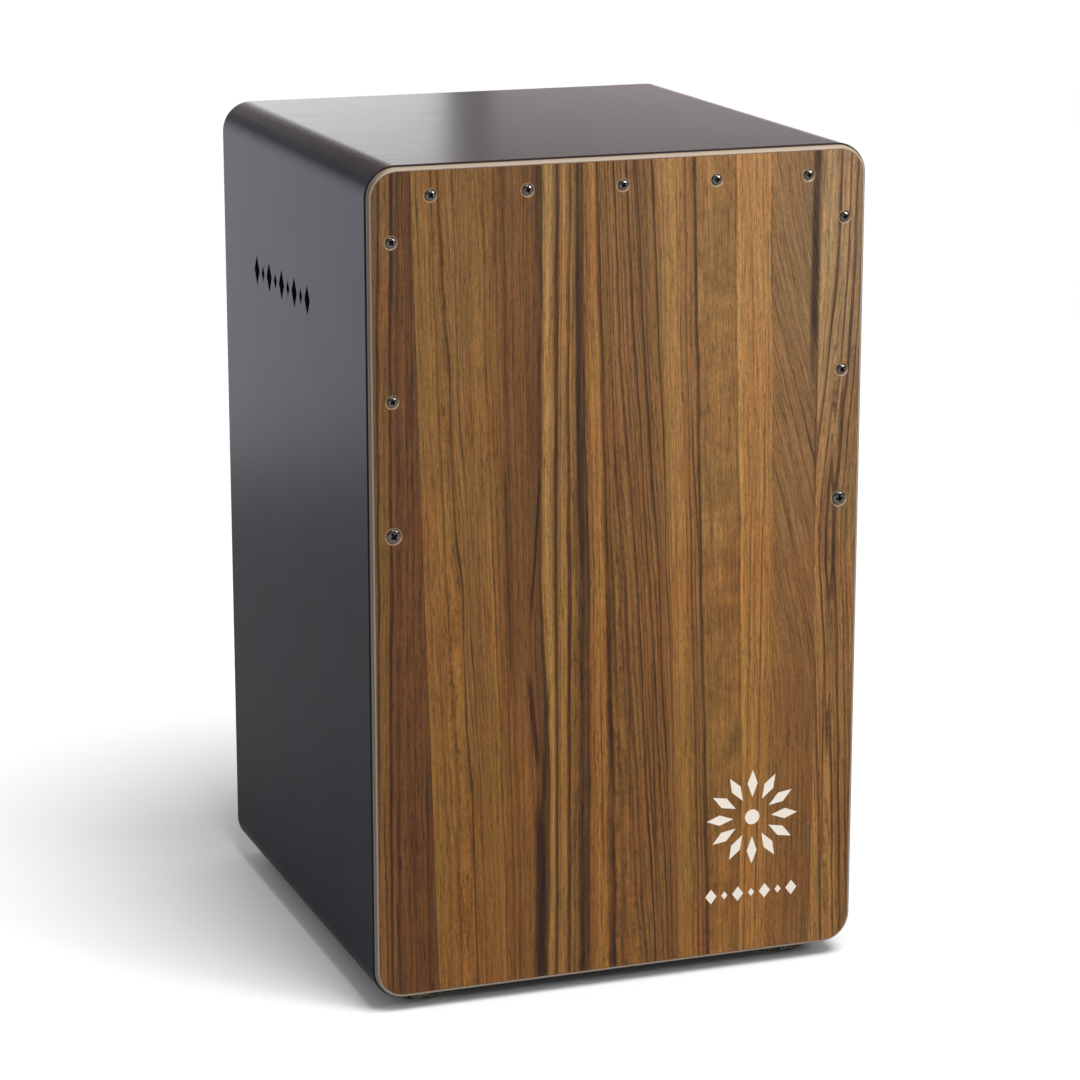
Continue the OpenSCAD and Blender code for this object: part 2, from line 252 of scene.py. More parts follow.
# Dark growth lines in the same frame: place, half width in mm and depth of tone
LINES = [
    (-177.2, 0.8, 0.55), (-172.6, 0.8, 1.0), (-168.5, 0.4, 0.25), (-165.1, 1.0, 1.0), (-161, 1.0, 0.35),
    (-157, 0.4, 0.3), (-154.6, 0.5, 0.4), (-147.5, 0.5, 0.3),
    (-121.5, 0.3, 0.2), (-117.6, 0.35, 0.25), (-113, 0.5, 0.45), (-109, 0.6, 0.85), (-104.9, 0.4, 0.3),
    (-101, 0.6, 0.55), (-97, 0.35, 0.3), (-92.4, 0.35, 0.25), (-88, 0.3, 0.22), (-83.4, 0.6, 0.4),
    (-80.6, 0.3, 0.25), (-76.5, 0.8, 0.4), (-71.8, 1.6, 0.4), (-66.5, 0.7, 0.35), (-61.5, 0.4, 0.3),
    (-57.5, 0.5, 0.3), (-53.6, 0.4, 0.25), (-48.6, 1.2, 0.6),
    (-42.6, 0.3, 0.2), (-39.3, 1.3, 0.95), (-36.6, 0.4, 0.3), (-34.4, 0.3, 0.2), (-31.8, 1.0, 1.0),
    (-29.6, 0.4, 0.35), (-27.6, 0.8, 0.8), (-25.1, 0.7, 0.65), (-22.6, 0.5, 0.35), (-19.6, 0.4, 0.3),
    (-16, 1.1, 0.95), (-14.3, 0.5, 0.35), (-12.6, 0.35, 0.3), (-11, 0.55, 0.55), (-9.2, 0.4, 0.4),
    (-6, 0.7, 0.95), (-3.9, 0.4, 0.45), (-1.8, 0.45, 0.45), (1.5, 0.65, 0.95), (4, 0.4, 0.5),
    (7, 1.0, 0.9), (9.3, 0.35, 0.4), (12.2, 0.4, 0.4), (17, 0.7, 0.85), (19.6, 0.35, 0.35),
    (22.6, 0.3, 0.22),
    (26, 0.3, 0.22), (33.6, 0.4, 0.35), (36.6, 0.6, 0.6), (39.2, 0.4, 0.35), (42.7, 1.0, 0.85),
    (46.5, 0.3, 0.15), (67.4, 0.4, 0.3), (71.9, 0.3, 0.25), (73.7, 0.3, 0.2), (78.2, 0.35, 0.3),
    (85.3, 0.35, 0.25), (87.2, 0.3, 0.25), (90.4, 0.6, 0.55), (153.4, 0.3, 0.3), (157.6, 0.4, 0.3),
    (163.9, 0.8, 0.9), (166.5, 0.4, 0.35), (170.2, 0.8, 0.85), (172.2, 0.4, 0.3), (174.2, 1.1, 0.8),
    (178, 0.6, 0.55), (180.2, 0.5, 0.4),
]

# Slanting lines of the fifth leaf, by X where they would cross the top level
SLANTS = [
    (-2, 1.0, 0.3), (6, 0.7, 0.4), (14, 1.2, 0.35), (22, 0.6, 0.5), (29, 0.8, 0.45), (36, 0.5, 0.5),
    (42, 1.2, 0.3), (49, 0.6, 0.5), (55, 0.5, 0.4), (61, 0.9, 0.35), (68, 0.6, 0.5), (74.5, 0.8, 0.8),
    (79, 0.4, 0.3), (84, 0.6, 0.4), (90, 0.4, 0.3), (95, 0.6, 0.35), (100, 0.4, 0.3), (106, 0.7, 0.3),
    (112, 0.5, 0.3),
]

# Dark flames: X and height at both ends, half width, depth
FLAMES = [
    (-47.8, 325, -56, 205, 1.1, 1.0), (-49.5, 392, -48.5, 296, 1.9, 0.6), (-57, 196, -50, 122, 2.1, 0.95),
    (-44.5, 190, -48.2, 84, 2.0, 0.85), (-49.5, 132, -48.2, -30, 4.4, 1.0),
    (-71, 330, -65.4, 160, 1.9, 0.75),
    (-50.5, 500, -51.5, 412, 1.6, 0.6), (-57, 215, -52.5, 80, 0.5, 0.6), (-75, 462, -77.5, 415, 1.5, 0.4),
    (117.6, 590, 118.6, 318, 3.3, 1.0), (119.6, 420, 120.4, 250, 0.9, 0.6),
    (-25.4, 420, -22.3, -40, 3.0, 0.62), (-22.8, 112, -22.4, -40, 1.6, 0.7),
    (-28.6, 110, -28.2, 35, 1.6, 0.5),
    (-27.6, 470, -24.6, 300, 1.1, 0.8), (-8.5, 330, -5, 95, 1.8, 0.5), (-13, 205, -9, 40, 0.8, 0.8),
    (41.5, 355, 49.3, 225, 0.8, 0.85), (49, 250, 56, 55, 0.9, 0.75), (51.5, 140, 57.8, -40, 1.0, 0.8),
    (5.3, 190, 7.6, 20, 0.6, 0.7), (19, 200, 24, 50, 0.9, 0.7), (46.6, 190, 51.5, -30, 0.7, 0.6),
    (80.8, 345, 79.4, -60, 0.6, 0.6), (88.4, 400, 86.6, -60, 0.8, 0.65),
    (128.2, 200, 130.2, -40, 0.8, 0.8),
    (126, 185, 128, 60, 0.5, 0.6), (-126.5, 135, -126, 35, 0.6, 0.6),
    (-117.8, 160, -116.5, -30, 1.4, 0.55),
    (-143.5, 150, -141.2, -30, 0.8, 0.7), (-136.6, 75, -134, -30, 0.9, 0.75),
    (-134.6, 505, -135.8, 395, 1.2, 0.5),
    (137.6, 350, 134.6, 292, 1.2, 0.9), (133, 292, 132.2, 240, 1.0, 0.6),
]

# Height and shift in mm: lean of the leftmost leaf, bow of the rightmost one, fall of the slanting lines
LEAN = [(0, 4.2), (120, 3.8), (240, 2.7), (360, 2.0), (480, 0)]
BOW = [(0, 3.8), (60, 5.5), (120, 8.4), (185, 12.0), (220, 14.5), (250, 16.2), (300, 13.0), (360, 6.3),
       (420, 1.5), (480, 0)]
BOW_SHARE = [(120, 1), (130, 1), (133, 0.72), (140, 0.6), (150, 0.4)]
FALL = [(0, 78), (120, 77), (170, 74), (240, 60), (340, 34), (420, 12), (480, 0)]
OUTER_SHIFT = 30.0  # the tones and lines of the two outer leaves are listed this far beyond their place
TONE_TRIM = (0.91, 0.89, 0.765)  # keeps the listed tones true under this script's lights
RAMP_STOPS = 30  # most stops that one colour ramp takes here


def split_list(items, size):
    """Neighbouring groups of at most size items, each sharing its last item with the next group."""
    return [items[i:i + size] for i in range(0, len(items) - 1, size - 1)]


def tone_map(g, u, tones):
    """One colour from a long list of tones, made of several ramps."""
    color = None
    for group in split_list(tones, RAMP_STOPS):
        stops = [(spot, srgb(*[v * trim for v, trim in zip(tone, TONE_TRIM)])) for spot, tone in group]
        part = g.ramp(u, stops, group[0][0], group[-1][0])
        color = part if color is None else g.mix(g.math("GREATER_THAN", u, group[0][0]), color, part)
    return color


def growth_lines(g, u, lines):
    """Sum of narrow peaks across u, each darkest in its middle with soft flanks."""
    total = 0.0
    for i in range(0, len(lines), 7):
        group = lines[i:i + 7]
        lo, hi = group[0][0] - 6, group[-1][0] + 6
        stops = [(lo, (0, 0, 0, 1))]
        for place, half, depth in group:
            for away, share in ((-1.7, 0.0), (-0.4, 0.85), (0.25, 1.0), (0.85, 0.0)):
                tone = min(1.0, depth * 1.25) * share
                edge = max(place + away * half * 1.12, stops[-1][0] + 0.01)
                stops.append((edge, (tone, tone, tone, 1)))
        total = g.plus(total, g.ramp(u, stops, lo, hi))
    return total


def flame(g, x, h, x0, h0, x1, h1, half, depth):
    """A dark streak from (x0, h0) down to (x1, h1) that fades at its ends."""
    t = g.remap(h, h0, h1)
    middle = g.remap(t, 0.0, 1.0, x0, x1)
    away = g.math("ABSOLUTE", g.minus(x, middle))
    body = g.remap(away, half * 1.15, half * 0.3, smooth=True)
    ends = g.remap(g.math("ABSOLUTE", g.minus(t, 0.5)), 0.5, 0.25, smooth=True)
    return g.times(g.times(body, ends), depth)


def between_levels(g, h, values):
    """Blends five values, one for each level, by height."""
    total = 0.0
    step = LEVELS[0] - LEVELS[1]
    for level, value in zip(LEVELS, values):
        away = g.math("ABSOLUTE", g.minus(h, level))
        if level == LEVELS[0]:
            away = g.math("MAXIMUM", g.minus(level, h), 0.0)
        total = g.plus(total, g.times(g.remap(away, step, 0.0), value))
    return total


def joint_x(g, h, xs):
    """X of a joint between two leaves at a height."""
    return g.curve(h, LEVELS[-1], LEVELS[0], list(zip(LEVELS, xs))[::-1], min(xs) - 1, max(xs) + 1)


def leaves(g, x, h, xw):
    """A point's place in the figure: u where its growth line meets the top edge, slant_v the same for the
    slanting leaf, the one of the two that holds, and masks of the slanting and the curly leaf."""
    maps = [xw]
    for k in range(1, len(LEVELS)):
        maps.append(g.curve(xw, -130, 130, [(row[k], row[0]) for row in FIGURE], -130, 130))
    middle = between_levels(g, h, maps)
    lean = g.times(g.curve(h, 0, 480, LEAN, -1, 6), g.remap(x, -135, -118, 1.0, -0.6))
    bow = g.times(g.curve(h, 0, 480, BOW, 0, 17), g.curve(x, 120, 150, BOW_SHARE, 0, 1.1))
    past = [g.math("GREATER_THAN", x, joint_x(g, h, xs)) for xs in JOINTS]
    u = g.blend(past[0], g.minus(g.plus(xw, lean), OUTER_SHIFT), middle)
    u = g.blend(past[4], u, g.plus(g.plus(xw, bow), OUTER_SHIFT))
    slanted = g.times(past[3], g.minus(1.0, past[4]))
    slant_v = g.minus(xw, g.curve(h, 0, 480, FALL, -1, 80))
    curly = g.times(past[1], g.minus(1.0, past[2]))
    return u, slant_v, g.blend(slanted, u, slant_v), slanted, curly


def leaf_color(g, x, z, h, u, curly, color):
    """The colour changed on the leaves whose tone drifts from head to foot."""
    # The dark left leaf opens to a golden sliver at its foot, the reddish leaf grows lighter downward
    sliver = g.times(g.remap(x, -134, -139, smooth=True), g.remap(h, 110, 20, smooth=True))
    amber = g.times(g.remap(u, -77, -74, smooth=True), g.remap(u, -56, -62, smooth=True))
    amber = g.times(amber, g.remap(h, 230, 120, smooth=True))
    color = g.mix(g.times(sliver, 0.5), color, srgb(126, 82, 40))
    color = g.mix(g.times(amber, 0.95), color, g.dye(color, srgb(288, 292, 290)))
    # Cloudy curl in the olive leaf
    curl = g.noise(g.vector(g.times(x, 0.05), 0.0, g.times(z, 0.045)), 5.0, 0.62, 0.9)
    return g.mix(curly, color, g.tint(color, g.remap(curl, 0.32, 0.68, 0.72, 1.22)))


def hazed(g, axes, h, color):
    """Warm and olive hazes over the whole face, and a painted sheen that makes it paler and greyer toward
    its top and bluer still at its upper right.
    """
    haze = g.noise(g.scaled(axes, (0.03, 0.0, 0.011)), 4.0, 0.6)
    warm, olive = g.dye(color, srgb(260, 243, 228)), g.dye(color, srgb(247, 253, 237))
    color = g.mix(g.remap(haze, 0.45, 0.7, 0.0, 0.9), color, warm)
    color = g.mix(g.remap(haze, 0.52, 0.3, 0.0, 0.9), color, olive)
    # Painted sheen: paler and greyer toward the top, bluer again at the upper right
    color = g.dye(color, g.mix(g.remap(h, 130, 440), srgb(240, 237, 222), srgb(236, 246, 268)))
    painted_sheen_mask = g.times(g.remap(axes[0], 60, 140, smooth=True), g.remap(h, 180, 400, smooth=True))
    return g.mix(g.times(painted_sheen_mask, 0.8), color, g.dye(color, srgb(238, 255, 286)))


def walnut():
    """Walnut face veneer: six leaves with straight, slowly leaning figure."""
    g = Graph("walnut_veneer", srgb(126, 88, 52), roughness=0.42, specular=0.16)
    axes = g.coords()
    x, _, z = axes
    h = g.minus(z, FACE_FOOT - 0.5)
    waver = g.remap(g.noise(g.scaled(axes, (0.05, 0.0, 0.022)), 2.0), 0.3, 0.7, -0.4, 0.4)
    wide = g.remap(g.noise(g.scaled(axes, (0.014, 0.0, 0.006)), 1.0), 0.3, 0.7, -0.35, 0.35)
    xw = g.plus(g.plus(x, waver), wide)
    u, slant_v, v, slanted, curly = leaves(g, x, h, xw)

    def grain(across, layer, up, detail, rough=0.5):
        """Noise that runs with the figure."""
        return g.noise(g.vector(g.times(v, across), layer, g.times(z, up)), detail, rough)

    # Bands and fibres of four widths
    broad, band = grain(0.16, 0.3, 0.004, 3.0, 0.6), grain(0.55, 1.3, 0.007, 3.0, 0.65)
    fibre, speck = grain(1.0, 2.3, 0.03, 4.0, 0.7), grain(1.3, 4.3, 0.35, 3.0, 0.7)
    color = tone_map(g, u, TONES)
    contrasts = ((broad, 0.9, 1.1), (band, 0.89, 1.1), (fibre, 0.66, 1.32), (speck, 0.78, 1.22))
    for noise, low, high in contrasts:
        color = g.tint(color, g.remap(noise, 0.3, 0.7, low, high))
    color = hazed(g, axes, h, leaf_color(g, x, z, h, u, curly, color))

    # Growth lines come and go along the leaf, flames have their own ends
    strength = g.remap(grain(0.4, 5.1, 0.007, 2.0), 0.32, 0.56, 0.7, 1.0)
    slants = g.times(growth_lines(g, slant_v, SLANTS), 0.6)
    lines = g.blend(slanted, growth_lines(g, u, LINES), slants)
    hair = g.remap(grain(1.4, 7.7, 0.007, 2.0, 0.6), 0.56, 0.64, 0.0, 0.34, smooth=True)
    dark = g.plus(g.times(lines, strength), g.times(hair, g.remap(curly, 0, 1, 1, 0.2)))
    for streak in FLAMES:
        dark = g.math("MAXIMUM", dark, flame(g, xw, h, *streak))
    dark = g.times(g.math("MINIMUM", dark, 1.0), g.remap(fibre, 0.3, 0.7, 1.0, 0.8))
    color = g.mix(dark, color, g.dye(color, srgb(110, 99, 101)))

    # Open pores: short dark dashes along the grain
    pore = g.remap(grain(1.5, 3.3, 0.1, 2.0, 0.6), 0.56, 0.66, 0.0, 1.0, smooth=True)
    color = g.mix(g.times(pore, 0.5), color, g.dye(color, srgb(120, 108, 100)))
    g.color(color)
    g.rough(g.remap(fibre, 0.2, 0.8, 0.38, 0.52))
    g.bump(g.minus(g.times(fibre, 0.6), pore), 0.00006, 0.35)
    return g.mat


def ply_edge():
    """Edge of the playing surface: pale plies with thin darker glue lines, by depth. The side edges hold a
    darker ply band deepened by painted shade, and a grey outer band that is a painted reflection.
    """
    g = Graph("pale_ply_edge", srgb(190, 160, 128), roughness=0.5)
    axes = g.coords()
    waver = g.remap(g.noise(g.scaled(axes, (0.3, 0.3, 0.3)), 3.0), 0.3, 0.7, -0.1, 0.1)
    depth = g.plus(g.minus(axes[1], TAPA_LO.y / MM), waver)
    pale, core, painted_reflection_grey = srgb(142, 126, 109), srgb(134, 117, 99), srgb(122, 112, 106)
    dark = srgb(96, 80, 62)
    veneer = [(0, srgb(80, 56, 38)), (0.25, srgb(84, 60, 40)), (0.4, pale)]
    # Side edges: a darker ply band deepened by painted shade, then a grey outer band that is a painted
    # reflection
    side_edge_stops = [(0.95, pale), (1.15, dark), (2.2, dark), (2.5, painted_reflection_grey), (4, painted_reflection_grey)]
    top_bottom_edge = g.ramp(depth, veneer + [(1.5, pale), (1.7, core), (4, core)], 0, 4)
    side_edge_painted_shade = g.ramp(depth, veneer + side_edge_stops, 0, 4)
    upright = g.remap(g.math("ABSOLUTE", axes[0]), TAPA_HI.x / MM - 15, TAPA_HI.x / MM - 3)
    color = g.mix(upright, top_bottom_edge, side_edge_painted_shade)
    streak = g.noise(g.scaled(axes, (0.12, 1.5, 0.12)), 3.0, 0.6)
    color = g.tint(color, g.remap(streak, 0.25, 0.75, 0.88, 1.08))
    g.color(color)
    g.rough(g.remap(streak, 0.2, 0.8, 0.42, 0.6))
    g.bump(streak, 0.0001, 0.3)
    return g.mat


# ---------------------------------------------------------------- other materials

def black_stain(name, along, warm=0.0, shine=0.0):
    """Black stained plywood with a satin lacquer; along is the grain's axis, 0 for X and 2 for Z."""
    g = Graph(name, srgb(34, 36, 41), roughness=0.36, specular=0.01)
    axes = g.coords()
    scales = [0.55, 0.55, 0.55]
    scales[along] = 0.012
    grain = g.noise(g.scaled(axes, scales), 4.0, 0.6)
    scales = [2.4, 2.4, 2.4]
    scales[along] = 0.06
    fine = g.noise(g.scaled(axes, scales), 3.0, 0.6)
    cloud = g.noise(g.scaled(axes, (0.02, 0.02, 0.02)), 3.0)
    color = g.mix(warm, srgb(33, 35, 40), srgb(56, 43, 38))
    color = g.tint(color, g.remap(grain, 0.25, 0.75, 0.8, 1.2))
    g.color(g.tint(color, g.remap(cloud, 0.3, 0.7, 0.9, 1.1)))
    satin = g.remap(grain, 0.2, 0.8, 0.31 - shine, 0.36 - shine)
    g.rough(g.plus(satin, g.remap(fine, 0.2, 0.8, -0.02, 0.02)))
    g.bump(g.plus(g.times(grain, 0.6), g.times(fine, 0.5)), 0.00006, 0.15)
    return g.mat


def raw_wood(name, light, deep, along, line_mm=2.2):
    """Plain unfinished wood with soft growth lines along one axis."""
    g = Graph(name, light, roughness=0.62, specular=0.35)
    axes = g.coords()
    scales = [1 / line_mm] * 3
    scales[along] = 0.008
    grain = g.noise(g.scaled(axes, scales), 4.0, 0.6, 0.4)
    scales = [2.6] * 3
    scales[along] = 0.05
    fibre = g.noise(g.scaled(axes, scales), 3.0, 0.6)
    color = g.mix(g.remap(grain, 0.35, 0.68), light, deep)
    g.color(g.tint(color, g.remap(fibre, 0.25, 0.75, 0.88, 1.08)))
    g.rough(g.remap(fibre, 0.2, 0.8, 0.55, 0.72))
    g.bump(fibre, 0.0002, 0.3)
    return g.mat


def metal(name, color, roughness, scratch=1.0, dull=0.06):
    """Plated metal with fine handling marks and a slightly uneven shine."""
    g = Graph(name, color, roughness=roughness, metallic=1.0)
    axes = g.coords()
    cloud = g.noise(g.scaled(axes, (0.5, 0.5, 0.5)), 4.0, 0.6)
    marks = g.noise(g.scaled(axes, (6.0, 1.2, 6.0)), 3.0, 0.6)
    g.color(g.tint(color, g.remap(cloud, 0.3, 0.7, 0.82, 1.06)))
    uneven = g.plus(cloud, g.times(marks, 0.5))
    g.rough(g.remap(uneven, 0.4, 1.1, roughness - dull, roughness + dull))
    g.bump(marks, 0.00002, 0.25 * scratch)
    return g.mat


def granulated_rubber():
    """Feet of bonded rubber grains in grey and olive."""
    g = Graph("granulated_rubber", srgb(84, 86, 74), roughness=0.85, specular=0.25)
    axes = g.coords()
    cells = g.node("ShaderNodeTexVoronoi", {"Vector": g.scaled(axes, (1, 1, 1)), "Scale": 0.75})
    grain = g.node("ShaderNodeSeparateColor", {0: cells.outputs["Color"]}).outputs[0]
    g.color(g.ramp(grain, [(0, srgb(38, 39, 36)), (0.4, srgb(78, 80, 70)), (0.7, srgb(112, 116, 98)),
                           (1, srgb(150, 150, 132))]))
    g.rough(g.remap(grain, 0, 1, 0.75, 0.95))
    g.bump(cells.outputs["Distance"], 0.0004, 0.8)
    return g.mat


def painted(name, color, roughness, specular=0.3):
    """A printed mark: even ink with a faint texture from the wood under it."""
    g = Graph(name, color, roughness=roughness, specular=specular)
    axes = g.coords()
    under = g.noise(g.scaled(axes, (1.6, 1.6, 0.03)), 3.0, 0.6)
    g.color(g.tint(color, g.remap(under, 0.25, 0.75, 0.95, 1.03)))
    g.rough(g.remap(under, 0.2, 0.8, roughness - 0.05, roughness + 0.08))
    g.bump(under, 0.00003, 0.2)
    return g.mat


def nylon():
    g = Graph("black_nylon", srgb(34, 34, 35), roughness=0.5)
    axes = g.coords()
    speck = g.noise(g.scaled(axes, (3, 3, 3)), 3.0)
    g.color(g.tint(srgb(34, 34, 35), g.remap(speck, 0.3, 0.7, 0.85, 1.15)))
    g.rough(g.remap(speck, 0.3, 0.7, 0.42, 0.58))
    g.bump(speck, 0.00005, 0.3)
    return g.mat


WALNUT = walnut()
PLY_EDGE = ply_edge()
STAIN_SIDE = black_stain("black_stain_side", 2)
STAIN_TOP = black_stain("black_stain_top", 0, warm=0.55, shine=0.13)
STAIN_BOTTOM = black_stain("black_stain_bottom", 0)
STAIN_BACK = black_stain("black_stain_back", 2)
BIRCH = raw_wood("birch_ply_inside", srgb(214, 186, 148), srgb(186, 152, 112), 2, 6.0)
BATTEN_X = raw_wood("spruce_batten_x", srgb(212, 178, 130), srgb(176, 132, 84), 0)
BATTEN_Y = raw_wood("spruce_batten_y", srgb(212, 178, 130), srgb(176, 132, 84), 1)
BATTEN_Z = raw_wood("spruce_batten_z", srgb(212, 178, 130), srgb(176, 132, 84), 2)
BEECH = raw_wood("planed_beech", srgb(206, 164, 122), srgb(178, 130, 90), 0, 1.6)
LEVER_PLY = raw_wood("oiled_ply_lever", srgb(192, 148, 98), srgb(158, 112, 68), 1, 2.0)
NICKEL = metal("dark_nickel", (0.115, 0.103, 0.096, 1), 0.15)
SINK_WOOD = raw_wood("countersunk_ply", srgb(186, 158, 124), srgb(138, 110, 80), 0, 1.0)
# Near-black metal on the walls of the cross recesses: painted shade in the recess
RECESS_PAINTED_SHADE = metal("recess_painted_shade", (0.02, 0.018, 0.017, 1), 0.5)
ZINC = metal("zinc_plate", (0.62, 0.61, 0.57, 1), 0.34)
SHEET = metal("zinc_sheet", (0.50, 0.51, 0.52, 1), 0.42)
SPRING = metal("bright_spring_wire", (0.66, 0.66, 0.65, 1), 0.22)
RUBBER = granulated_rubber()
NYLON = nylon()
CREAM_INK = painted("cream_ink", srgb(214, 205, 192), 0.45)
BLACK_INK = painted("black_ink", srgb(10, 10, 11), 0.5, 0.0)


# ---------------------------------------------------------------- mesh helpers

def add_object(name, data):
    obj = bpy.data.objects.new(name, data)
    bpy.context.scene.collection.objects.link(obj)
    return obj


def shade(mesh, sharp_deg):
    """Smooth faces, with sharp edges where they meet at more than an angle."""
    for p in mesh.polygons:
        p.use_smooth = True
    mesh.set_sharp_from_angle(angle=math.radians(sharp_deg))


def finish_mesh(bm, name, materials, smooth_deg=35):
    """Turns a bmesh into an object with smooth faces and sharp edges by angle."""
    bmesh.ops.remove_doubles(bm, verts=bm.verts, dist=1e-7)
    bmesh.ops.recalc_face_normals(bm, faces=bm.faces)
    mesh = bpy.data.meshes.new(name)
    bm.to_mesh(mesh)
    bm.free()
    for m in materials:
        mesh.materials.append(m)
    shade(mesh, smooth_deg)
    return add_object(name, mesh)


def keep_flat(obj):
    """Large flat faces keep their own normals next to rounded edges."""
    mod = obj.modifiers.new("flat_faces", "WEIGHTED_NORMAL")
    mod.keep_sharp = True
    mod.weight = 80
    return obj


def place(obj, body, slot, *nodes):
    """The piece rides on a body and stands for CAD nodes, which are hidden; slot is not used."""
    if nodes:
        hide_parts(*nodes)
    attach(obj, body)
    return obj


def angles(steps):
    """Evenly spread angles of one whole turn."""
    return [2 * math.pi * i / steps for i in range(steps)]


def outline(w, h, r, start=0.0, stop=360.0):
    """Rounded rectangle round (0, MID_Z) as (X, Z), from one angle to another, in quarter arcs."""
    points = []
    quarter = math.floor(start / 90)
    while quarter * 90 < stop - 1e-6:
        a0, a1 = max(start, quarter * 90), min(stop, quarter * 90 + 90)
        n = max(1, round(ARC_STEPS * (a1 - a0) / 90))
        mid = math.radians(quarter * 90 + 45)
        cx = math.copysign(w / 2 - r, math.cos(mid))
        cz = math.copysign(h / 2 - r, math.sin(mid))
        for i in range(n + 1):
            a = math.radians(a0 + (a1 - a0) * i / n)
            points.append((cx + r * math.cos(a), MID_Z + cz + r * math.sin(a)))
        quarter += 1
    return points


def skin(bm, rows, closed_rows=False, closed_points=True, material=None):
    """Quads between neighbouring rows of points; material gives each band's slot number."""
    verts = [[bm.verts.new(p) for p in row] for row in rows]
    bands = len(rows) if closed_rows else len(rows) - 1
    count = len(rows[0])
    for i in range(bands):
        a, b = verts[i], verts[(i + 1) % len(rows)]
        for j in range(count if closed_points else count - 1):
            k = (j + 1) % count
            quad = []
            for v in (a[j], a[k], b[k], b[j]):
                if all((v.co - q.co).length > 1e-7 for q in quad):
                    quad.append(v)
            if len(quad) > 2:
                bm.faces.new(quad).material_index = material[i] if material else 0
    return verts


def capped(bm, rows):
    """A skin whose first and last rows are closed by a face."""
    verts = skin(bm, rows)
    bm.faces.new(verts[0])
    bm.faces.new(verts[-1])


def rounding(y, inset, radius, toward, steps=3):
    """(Y, inset) pairs round a rim, from the outer wall to the face that looks toward +1 or -1."""
    pairs = []
    for i in range(steps + 1):
        a = math.pi / 2 * i / steps
        pairs.append((y - toward * radius * (1 - math.sin(a)), inset + radius * (1 - math.cos(a))))
    return pairs


# ---------------------------------------------------------------- box

def shell_panel(name, start, stain):
    """One mitred panel between the middles of two corner arcs; start is the first angle."""
    w, h = 2 * (SHELL_HI.x - INK_ROOM), BOX_H
    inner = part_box("left_panel")[1].x
    wall = inner - SHELL_LO.x
    y0, y1, y2 = SHELL_LO.y, BACK_LO.y, SHELL_HI.y

    def ring(y, inset):
        rim = outline(w - 2 * inset, h - 2 * inset, EDGE_R - inset, start, start + 90)
        return [(x, y, z) for x, z in rim]

    def square(y):
        sx, sz = SHELL_HI.x - wall, h / 2 - wall
        return [(math.copysign(sx, x), y, MID_Z + math.copysign(sz, z - MID_Z)) for x, _, z in ring(y, 0)]

    front = rounding(y0, 0, RIM_ROUND, -1)[::-1]
    back = rounding(y2, 0, RIM_ROUND, 1)
    lip = rounding(y2, 0, 0.3 * MM, 1)
    rows = [ring(y, d) for y, d in front + back]
    rows += [ring(y, BACK_LIP - d) for y, d in lip[::-1]]
    outside = len(rows)
    rows += [ring(y1, BACK_LIP), square(y1), square(y0)]
    bm = bmesh.new()
    skin(bm, rows, closed_rows=True, closed_points=False,
         material=[0] * (outside - 1) + [1] * (len(rows) - outside) + [0])
    bmesh.ops.remove_doubles(bm, verts=bm.verts, dist=1e-7)
    bmesh.ops.holes_fill(bm, edges=[e for e in bm.edges if e.is_boundary], sides=0)
    place(keep_flat(finish_mesh(bm, name + "_piece", [stain, BIRCH])), "box", "black_shell", name)


def plate_rows(lo, hi, r, front, back):
    """Rows of a rounded plate from its back face to its front face, for two rim roundings."""
    w, h = hi.x - lo.x, hi.z - lo.z
    return [[(x, y, z) for x, z in outline(w - 2 * d, h - 2 * d, r - d)] for y, d in back[::-1] + front]


def cut(obj, cutter):
    """Boolean difference, applied; the cutter is deleted."""
    mod = obj.modifiers.new("cut", "BOOLEAN")
    mod.operation, mod.solver, mod.object = "DIFFERENCE", "EXACT", cutter
    mod.material_mode = "TRANSFER"
    deps = bpy.context.evaluated_depsgraph_get()
    mesh = bpy.data.meshes.new_from_object(obj.evaluated_get(deps))
    obj.modifiers.clear()
    old = obj.data
    obj.data = mesh
    bpy.data.meshes.remove(old)
    bpy.data.objects.remove(cutter)
    return obj


def lathe(bm, profile, spot, axis, steps):
    """Solid of revolution about axis at spot; profile holds (radius, along) from pole to pole."""
    frame_of = axis.to_track_quat("Z", "Y").to_matrix()
    skin(bm, [[spot + frame_of @ Vector((r * math.cos(a), r * math.sin(a), along)) for a in angles(steps)]
              for r, along in profile])


def screw_spots(node):
    """The lowest and highest corner of each separate solid of a CAD node."""
    mesh = frame["nodes"][node].data
    bm = bmesh.new()
    bm.from_mesh(mesh)
    bmesh.ops.remove_doubles(bm, verts=bm.verts, dist=1e-6)
    left, spots = set(bm.verts), []
    while left:
        stack, part = [left.pop()], []
        while stack:
            v = stack.pop()
            part.append(v.co.copy())
            for e in v.link_edges:
                other = e.other_vert(v)
                if other in left:
                    left.discard(other)
                    stack.append(other)
        lo = Vector([min(p[i] for p in part) for i in range(3)])
        hi = Vector([max(p[i] for p in part) for i in range(3)])
        spots.append((lo, hi))
    bm.free()
    return sorted(spots, key=lambda s: (round(s[0].x, 4), round(s[0].z, 4), round(s[0].y, 4)))


# ---------------------------------------------------------------- playing surface

FACE_NODES = ["fixed_screws", "large_side_screws", "tuning_screw_top_left", "tuning_screw_top_right",
              "tuning_screw_side_left", "tuning_screw_side_right"]
FACE_SPOTS = {n: screw_spots(n) for n in FACE_NODES}
HEAD_SINK = 0.5 * MM
SINK_RIM = 1.1 * MM


def head_radius(spot):
    return (spot[1].x - spot[0].x) / 2


